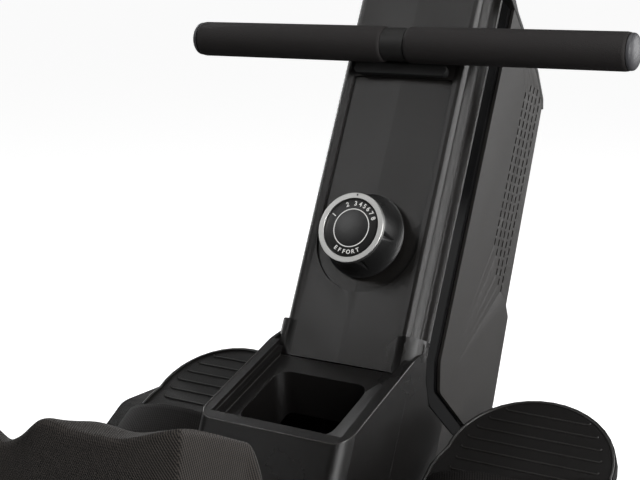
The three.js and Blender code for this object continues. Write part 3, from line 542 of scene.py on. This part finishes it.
def finger_groove(angle, height):
    """Depth of the grooves: wide under the ring, closing to a point a third of the way up the skirt."""
    share = max(0.0, min(1.0, (height - GROOVE_LOW) / GROOVE_RISE))
    turn = (angle - FIRST_GROOVE) % (2 * math.pi / GROOVES)
    away = min(turn, 2 * math.pi / GROOVES - turn)
    width = 0.012 + 0.10 * share
    return GROOVE_DEPTH * share ** 0.5 * max(0.0, 1 - away / width)


# The profiles are (radius, height above the panel's knob plane) in metres.
skirt_heights = [0.0052 + 0.00098 * step for step in range(25)]
flare = [(RING_R + 0.0066 * math.exp(-(height - 0.005) / 0.0085), height) for height in skirt_heights]
skirt_profile = [(0.0034, 0.0034), (0.0405, 0.0034), (0.0408, 0.0045)] + flare
skirt_profile += [(RING_R, 0.0297), (0.0034, 0.0297)]
knob_plastic = surface("knob_plastic", pebbles, {"Tint": KNOB_BLACK, "Roughness": 0.33,
                                                 "Pebbles": 1800.0}, 0.0002, Specular_IOR_Level=0.5)
skirt = lathe("knob_grip", skirt_profile, 288, TOWER, finger_groove)
fitted(skirt, knob_plastic, "dark", "knob", "knob_skirt")

satin_silver = surface("satin_silver", turned, {"Tint": SILVER, "Roughness": 0.34,
                                                "Marks": (700, 700, 3000)}, 0.00004, Metallic=1.0)
ring_profile = [(0.0281, 0.0300), (0.0281, 0.0337), (0.0284, 0.0340), (0.0330, 0.0340), (RING_R, 0.0336),
                (RING_R, 0.0300)]
fitted(lathe("silver_ring", ring_profile, 160, TOWER), satin_silver, "silver", "knob", "knob_ring")
points, faces = block((-0.0008, -0.0342, 0.0304), (0.0008, -0.0333, 0.0322))
mark = smooth(solid("index_mark", points, faces, TOWER))
fitted(mark, knob_plastic, "dark", "knob")

dial_profile = [(0.0002, 0.0301), (DIAL_R, 0.0301), (DIAL_R, 0.0319), (DIAL_R - 0.0004, 0.0322),
                (0.0002, 0.0322)]
fitted(lathe("printed_dial", dial_profile, 128, TOWER), knob_plastic, "dark", "base", "knob_dial")

white_print = surface("white_print", pebbles, {"Tint": PRINT_WHITE, "Drift": 0.1, "Roughness": 0.6},
                      0.00002)
circle_profile = [(0.0176, 0.0321), (0.0185, 0.0321), (0.0185, 0.0324), (0.0176, 0.0324)]
fitted(lathe("dial_circle", circle_profile, 128, TOWER), white_print, "silver", "base")


def printed(name, words, size, radius, degrees, upright):
    """A raised print of one figure, set on the dial at an angle from the top."""
    font = bpy.data.curves.new(name, "FONT")
    font.body = words
    font.size = size
    font.align_x = "CENTER"
    font.align_y = "CENTER"
    font.extrude = 0.00008
    font.offset = 0.00015
    letter = in_scene(name, font)
    bpy.context.view_layer.update()
    turn = math.radians(degrees)
    facing = Matrix(((1, 0, 0), (0, 0, -1), (0, 1, 0))).to_4x4()
    spin = Matrix.Rotation(turn if upright else turn - math.pi, 4, "Y")
    spot = Matrix.Translation((radius * math.sin(turn), -0.0323, radius * math.cos(turn)))
    mesh = bpy.data.meshes.new_from_object(letter.evaluated_get(bpy.context.evaluated_depsgraph_get()))
    mesh.transform(TOWER @ spot @ spin @ facing)
    bpy.data.objects.remove(letter)
    fitted(in_scene(name, mesh), white_print, "silver", "base")


for figure, degrees in enumerate(SETTINGS, 1):
    printed(f"setting_{figure}", str(figure), 0.0060, 0.0232, degrees, True)
for index, letter in enumerate("EFFORT"):
    printed(f"word_letter_{index}", letter, 0.0054, 0.0231, FIRST_LETTER - LETTER_STEP * index, False)


# ---- handlebar ----
# A straight steel tube with two closed-cell foam grips, moulded end caps and a ribbed centre sleeve. The
# sleeve is clamped round the tube and carries the eye that the pull strap is stitched to.
FOAM_BROWN = (0.013, 0.0108, 0.0105, 1)
BORE_R, CAP_R, SLEEVE_R = 0.0128, 0.0165, 0.0158
CAP_WALL = 0.0018
CAP_STEPS, SLEEVE_STEPS = 8, 24
RIB_ZONE = 0.008

bar_low, bar_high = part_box("bar_tube")
bar_at = (bar_low + bar_high) / 2
ALONG_BAR = Matrix.Translation((0, bar_at.y, bar_at.z)) @ Matrix.Rotation(math.pi / 2, 4, "Z")
grip_r = (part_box("foam_grip_right")[1].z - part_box("foam_grip_right")[0].z) / 2

foam = surface("grip_foam", pebbles, {"Tint": FOAM_BROWN, "Drift": 0.25, "Roughness": 0.7, "Pebbles": 1100.0},
               0.0005, Specular_IOR_Level=0.45)
for side, sign in [("left", -1), ("right", 1)]:
    grip_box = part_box(f"foam_grip_{side}")
    start, end = sorted([abs(grip_box[0].x), abs(grip_box[1].x)])
    outline = [(BORE_R, start), (grip_r - 0.0030, start), (grip_r - 0.0012, start + 0.0006),
               (grip_r - 0.0003, start + 0.002), (grip_r, start + 0.004), (grip_r, end - 0.004),
               (grip_r - 0.0004, end - 0.0015), (grip_r - 0.0016, end - 0.0004), (BORE_R, end)]
    grip = lathe(f"grip_{side}", [(radius, -sign * place) for radius, place in outline], 96, ALONG_BAR)
    fitted(grip, foam, "foam", "handlebar", f"foam_grip_{side}")
    cap_end = abs(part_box(f"bar_end_cap_{side}")[sign > 0].x)
    dome = [(0.0002, end + 0.0003), (CAP_R, end + 0.0003)]
    for step in range(CAP_STEPS):
        turn = step * math.pi / (2 * CAP_STEPS)
        out = end + CAP_WALL + (cap_end - end - CAP_WALL) * math.sin(turn)
        dome.append((CAP_R * math.cos(turn), out))
    dome.append((0.0002, cap_end))
    cap = lathe(f"end_cap_{side}", [(radius, -sign * place) for radius, place in dome], 64, ALONG_BAR)
    fitted(cap, grey_plastic, "grey", "handlebar", f"bar_end_cap_{side}")
finished("bar_tube", zinc_plate, "steel", 0.0)

sleeve_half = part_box("centre_sleeve")[1].x
sleeve_profile = [(BORE_R, -sleeve_half)]
for step in range(SLEEVE_STEPS + 1):
    place = -sleeve_half + 2 * sleeve_half * step / SLEEVE_STEPS
    rib = 0.0002 if step % 2 and abs(place) < RIB_ZONE else -0.0001
    sleeve_profile.append((SLEEVE_R + rib, place))
sleeve_profile.append((BORE_R, sleeve_half))
fitted(lathe("ribbed_sleeve", sleeve_profile, 96, ALONG_BAR), matt_plastic, "dark", "handlebar")
finished("centre_sleeve", matt_plastic, "dark", 0.0004)


# ---- console ----
# A small battery console on a steel arm: a two-part housing, a clear window over a grey liquid crystal and
# two rubber keys. The display is blank, as when it is switched off.
LCD_GREY = (0.17, 0.19, 0.15, 1)

lcd = surface("lcd_window", pebbles, {"Tint": LCD_GREY, "Drift": 0.05, "Roughness": 0.12, "Pebbles": 300.0},
              0.00002, Coat_Weight=1.0, Coat_Roughness=0.03)
finished("console_housing", matt_plastic, "dark", 0.0018)
finished("console_screen", lcd, "glass", 0.0004)
for side in ["left", "right"]:
    finished(f"console_button_{side}", soft_rubber, "rubber", 0.0012)


# ---- rail ----
# An extruded aluminium beam with a roller groove in each side, clear anodised; a sprung pin with a round
# plastic pull locks it level.
ALUMINIUM = (0.60, 0.61, 0.62, 1)

anodised = surface("anodised_rail", turned, {"Tint": ALUMINIUM, "Roughness": 0.28,
                                             "Marks": (1400, 8, 1400)}, 0.00006, Metallic=1.0)
finished("rail", anodised, "rail", 0.0006)
finished("fold_lock_pin", matt_plastic, "dark", 0.0015)


# ---- seat ----
# Four nylon rollers carry the steel carriage; a moulded pan on it holds a foam bucket cushion under a knit
# cover, with a raised rear rim that has a notch in the middle and wings that fall forward.
NYLON_GREY = (0.10, 0.10, 0.11, 1)
KNIT_BROWN = (0.040, 0.033, 0.028, 1)
# The cushion's sizes, in mm from the knob.
SEAT_HALF, SEAT_REAR, SEAT_FRONT, SEAT_MIDDLE, SEAT_BOTTOM = 143, -484, -292, -392, -152
SEAT_STEPS = (72, 40)
SEAT_LAYERS = [0, 0.25, 0.5, 0.75, 1]
SWELL_PRESSURE, SWELL_CAP, SWELL_FRAMES = 3.0, 0.0025, 20

roller_nylon = surface("roller_nylon", pebbles, {"Tint": NYLON_GREY, "Roughness": 0.4}, 0.0001)
for end in ["front", "rear"]:
    for side in ["left", "right"]:
        finished(f"seat_roller_{end}_{side}", roller_nylon, "grey", 0.0006)
finished("seat_base", matt_plastic, "dark", 0.002)


def knit_skin():
    """A fine diagonal knit: raised stitches in slanting rows that follow the way the cloth faces."""
    group, given, result = effect("knit_skin", {
        "Tint": (0.04, 0.035, 0.03, 1), "Gaps": (0.004, 0.0034, 0.003, 1), "Pitch": 900.0, "Roughness": 0.85},
        ["Color", "Roughness", "Height"])
    where = node(group, "ShaderNodeSeparateXYZ", {0: node(group, "ShaderNodeTexCoord").outputs["Object"]})
    facing = node(group, "ShaderNodeSeparateXYZ", {0: node(group, "ShaderNodeNewGeometry").outputs["Normal"]})
    upright = node(group, "ShaderNodeMath", {0: facing.outputs["Z"]}, operation="ABSOLUTE")
    lying = node(group, "ShaderNodeMath", {0: upright.outputs[0], 1: 0.55}, operation="GREATER_THAN")
    sideways = node(group, "ShaderNodeMath", {0: facing.outputs["X"]}, operation="ABSOLUTE")
    flank = node(group, "ShaderNodeMath", {0: sideways.outputs[0], 1: 0.7}, operation="GREATER_THAN")
    rise = node(group, "ShaderNodeMix", {0: lying.outputs[0], 2: where.outputs["Z"], 3: where.outputs["Y"]})
    run = node(group, "ShaderNodeMix", {0: flank.outputs[0], 2: where.outputs["X"], 3: where.outputs["Y"]})
    row = node(group, "ShaderNodeMath", {0: run.outputs[0], 1: given["Pitch"]}, operation="MULTIPLY")
    line = node(group, "ShaderNodeMath", {0: rise.outputs[0], 1: given["Pitch"]}, operation="MULTIPLY")
    slant = node(group, "ShaderNodeMath", {0: line.outputs[0], 1: 0.45, 2: row.outputs[0]},
                 operation="MULTIPLY_ADD")
    course = node(group, "ShaderNodeMath", {0: slant.outputs[0]}, operation="SINE")
    loop = node(group, "ShaderNodeMath", {0: line.outputs[0]}, operation="SINE")
    both = node(group, "ShaderNodeMath", {0: loop.outputs[0], 1: 0.45, 2: course.outputs[0]},
                operation="MULTIPLY_ADD")
    stitch = node(group, "ShaderNodeMapRange", {"Value": both.outputs[0], "From Min": -0.9, "From Max": 0.9},
                  interpolation_type="SMOOTHSTEP")
    cloud = node(group, "ShaderNodeTexNoise", {"Scale": 22.0, "Detail": 4.0})
    tone = node(group, "ShaderNodeMapRange", {"Value": cloud.outputs["Fac"], "To Min": 0.8, "To Max": 1.2})
    thread = node(group, "ShaderNodeHueSaturation", {"Color": given["Tint"], "Value": tone.outputs["Result"]})
    shade = node(group, "ShaderNodeMix", {0: stitch.outputs["Result"], 6: given["Gaps"],
                                          7: thread.outputs["Color"]}, data_type="RGBA")
    gloss = node(group, "ShaderNodeMath", {0: stitch.outputs["Result"], 1: -0.15, 2: given["Roughness"]},
                 operation="MULTIPLY_ADD")
    group.links.new(shade.outputs[2], result["Color"])
    group.links.new(gloss.outputs[0], result["Roughness"])
    group.links.new(stitch.outputs["Result"], result["Height"])
    return group


knit = knit_skin()
seat_knit = surface("seat_knit", knit, {"Tint": KNIT_BROWN, "Pitch": 3600.0}, 0.0004,
                    Sheen_Weight=0.08, Sheen_Roughness=0.45, Specular_IOR_Level=0.3)


def ease_in(value, low, high):
    """0 below low, 1 above high, with a smooth rise between them."""
    share = max(0.0, min(1.0, (value - low) / (high - low)))
    return share * share * (3 - 2 * share)


def seat_point(u, v):
    """A point of the seat's top in mm from the knob: u runs across from -1 to 1, v forwards from 0 to 1."""
    aside = abs(u)
    floor_height = -99 + 4 * aside ** 2 - 34 * ease_in(v, 0.25, 1)
    notch = 22 * (1 - ease_in(aside, 0, 0.31))
    shoulder = 3.4 * math.exp(-((aside - 0.31) / 0.1) ** 2)
    rim = -29.5 - notch + shoulder + 11.2 * ease_in(aside, 0.66, 1.04)
    thick = 0.02 + 0.07 * ease_in(aside, 0.3, 0.5)
    rear_wall = 1 - ease_in(v, thick, thick + 0.32)
    wing = (1.02 - 0.7 * v) * (1 - ease_in(v, 0.46, 0.72))
    corner = aside ** 5
    height = floor_height + (rim - floor_height) * (rear_wall * (1 - corner) + wing * corner)
    rear, front = SEAT_REAR + 14 * corner, SEAT_FRONT - 34 * corner
    return Vector((u * (SEAT_HALF - 46 * ease_in(v, 0.6, 1)), rear + (front - rear) * v, height))


def bucket(name, wide, deep):
    """The cushion as one closed skin: the dished top, four walls that draw in downwards, and the bottom."""
    form = bmesh.new()
    layers = []
    for share in SEAT_LAYERS:
        layer = {}
        for j in range(deep + 1):
            for i in range(wide + 1):
                if 0 < share < 1 and 0 < i < wide and 0 < j < deep:
                    continue
                top = seat_point(2 * i / wide - 1, j / deep)
                low = Vector((top.x * 0.84, SEAT_MIDDLE + (top.y - SEAT_MIDDLE) * 0.86, SEAT_BOTTOM))
                layer[i, j] = form.verts.new(top.lerp(low, share))
        layers.append(layer)
    for j in range(deep):
        for i in range(wide):
            form.faces.new([layers[0][spot] for spot in [(i, j), (i + 1, j), (i + 1, j + 1), (i, j + 1)]])
            form.faces.new([layers[-1][spot] for spot in [(i, j + 1), (i + 1, j + 1), (i + 1, j), (i, j)]])
    edge = [(i, 0) for i in range(wide)] + [(wide, j) for j in range(deep)]
    edge += [(i, deep) for i in range(wide, 0, -1)] + [(0, j) for j in range(deep, 0, -1)]
    for upper, lower in zip(layers, layers[1:]):
        for here, there in zip(edge, edge[1:] + edge[:1]):
            form.faces.new([upper[there], upper[here], lower[here], lower[there]])
    bmesh.ops.recalc_face_normals(form, faces=form.faces)
    mesh = bpy.data.meshes.new(name)
    form.to_mesh(mesh)
    form.free()
    mesh.transform(Matrix.Translation(knob_at) @ MM)
    return in_scene(name, mesh)


def swell(piece, pressure, cap):
    """Pumps a closed skin up by no more than cap, in a short cloth simulation, as foam fills its cover."""
    rest = [vertex.co.copy() for vertex in piece.data.vertices]
    cloth = piece.modifiers.new("cloth", "CLOTH")
    cloth.settings.quality = 6
    cloth.settings.mass = 0.3
    cloth.settings.tension_stiffness = 40
    cloth.settings.compression_stiffness = 40
    cloth.settings.bending_stiffness = 4
    cloth.settings.use_pressure = True
    cloth.settings.uniform_pressure_force = pressure
    cloth.settings.effector_weights.gravity = 0
    cloth.collision_settings.use_collision = False
    for step in range(1, SWELL_FRAMES + 1):
        bpy.context.scene.frame_set(step)
    apply_modifiers(piece)
    for vertex, start in zip(piece.data.vertices, rest):
        move = vertex.co - start
        if move.length > cap:
            vertex.co = start + move * (cap / move.length)
    bpy.context.scene.frame_set(1)


cushion = bucket("bucket_cushion", *SEAT_STEPS)
swell(cushion, SWELL_PRESSURE, SWELL_CAP)
fine = cushion.modifiers.new("fine", "SUBSURF")
fine.levels = fine.render_levels = 1
apply_modifiers(cushion)
cushion.data.shade_smooth()
fitted(cushion, seat_knit, "upholstery", "seat", "seat_cushion")


# ---- foot plates and straps ----
# Each foot plate is one black moulding with a round toe, a raised rim, cross ribs under the sole, a heel wall
# and a loop at its outer side; a woven nylon strap goes over the foot and down through both slots.
SOLE_SLOPE = 0.63
PLATE_BLACK = (0.0045, 0.0038, 0.0035, 1)
RIB_BLACK = (0.012, 0.011, 0.010, 1)
WEBBING_BLACK = (0.009, 0.0075, 0.007, 1)
# Sizes in mm from the tilt axis: the sole's height, where the round toe starts, its half width and depth,
# the ribs' row nearest the toe and their pitch, the strap's lower and upper edge, and how far it runs down.
SOLE, TOE, TOE_WIDE, TOE_DEEP = 39.5, 132, 77.5, 69.5
RIB_ROWS, FIRST_RIB, RIB_PITCH = 16, 185, 12.9
STRAP_LOW, STRAP_HIGH, STRAP_DOWN = 42.6, 83.4, 15.5
STRAP_HALF, STRAP_RISE, STRAP_THICK = 83.4, 40.0, 0.0018

pedal_mm = {}
for side, sign in [("left", -1), ("right", 1)]:
    pivot = Vector(joints[f"pedal_{side}_tilt"]["pos_m"])
    tilt = Matrix.Rotation(math.atan(SOLE_SLOPE), 4, "X")
    pedal_mm[side] = Matrix.Translation(pivot) @ tilt @ Matrix.Scale(sign, 4, (1, 0, 0)) @ MM
plate_plastic = surface("plate_plastic", pebbles, {"Tint": PLATE_BLACK, "Drift": 0.2, "Roughness": 0.42,
                                                   "Pebbles": 1500.0}, 0.0003, Specular_IOR_Level=0.2)
# The rim and the ribs are lighter and glossier than the plate.
rib_plastic = surface("lighter_rib_plastic", pebbles, {"Tint": RIB_BLACK, "Drift": 0.2, "Roughness": 0.34,
                                                    "Pebbles": 1500.0}, 0.0002, Specular_IOR_Level=0.5)
webbing_knit = surface("strap_weave", knit, {"Tint": WEBBING_BLACK, "Pitch": 2600.0}, 0.0003,
                       Specular_IOR_Level=0.25)


def strap_line(half, rise, steps=48):
    """Half an ellipse over the foot, then straight down through the slots at each side."""
    offset, outer_lean, inner_lean = 3.8, 2, 0.6
    drops = (4, 8, 12, STRAP_DOWN)
    over = [(half * math.cos(math.pi * step / steps) + offset, rise * math.sin(math.pi * step / steps))
            for step in range(steps + 1)]
    start, end = over[0][0], over[-1][0]
    outer = [(start + outer_lean * drop / STRAP_DOWN, -drop) for drop in reversed(drops)]
    inner = [(end + inner_lean * drop / STRAP_DOWN, -drop) for drop in drops]
    return outer + over + inner


for side in ["left", "right"]:
    body = f"pedal_{side}"
    finished(f"foot_plate_{side}", plate_plastic, "dark", 0.0014, 40)
    toe = [(TOE_WIDE * math.cos(math.pi * step / 40), TOE + TOE_DEEP * math.sin(math.pi * step / 40), SOLE)
           for step in range(41)]
    rim = [(84.5, 106, SOLE), (82.5, 118, SOLE)] + toe
    rim += [(-82.5, 118, SOLE), (-84.5, 106, SOLE), (-84.5, 34, SOLE)]
    ribs = [bead(rim, 1.5, pedal_mm[side], "rim")]
    for row in range(RIB_ROWS):
        place = FIRST_RIB - RIB_PITCH * row
        reach = 77 * math.sqrt(1 - (max(place, TOE) - TOE) ** 2 / 72 ** 2) - 12
        reach = min(reach, 69 if place > 10 else 54)
        if 20 < place < 112:
            reach = 66
        half = [(reach - 3, 0), (reach, 0.3), (reach + 1.5, 2.0)]
        route = [(-x, place + y, SOLE + 0.1) for x, y in reversed(half)]
        route += [(x, place + y, SOLE + 0.1) for x, y in half]
        ribs.append(bead(route, 0.9, pedal_mm[side], f"rib_{row}", sides=8))
    fitted(joined(ribs, f"sole_ribs_{side}"), rib_plastic, "dark", body)

    line = strap_line(STRAP_HALF, STRAP_RISE)
    rows = [STRAP_LOW + (STRAP_HIGH - STRAP_LOW) * step / 8 for step in range(9)]
    points = [(u, v, SOLE + w) for v in rows for u, w in line]
    count = len(line)
    faces = [(r * count + k, r * count + k + 1, (r + 1) * count + k + 1, (r + 1) * count + k)
             for r in range(len(rows) - 1) for k in range(count - 1)]
    strap = solid(f"woven_strap_{side}", points, faces, pedal_mm[side])
    strap.data.shade_smooth()
    thick = strap.modifiers.new("thickness", "SOLIDIFY")
    thick.thickness = STRAP_THICK
    thick.offset = 0
    apply_modifiers(strap)
    fitted(strap, webbing_knit, "webbing", body, f"foot_strap_{side}")


webbing = copied("pull_strap", "pull_webbing", False)
webbing.data.materials.clear()
webbing.data.materials.append(webbing_knit)
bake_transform(webbing)
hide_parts("pull_strap")
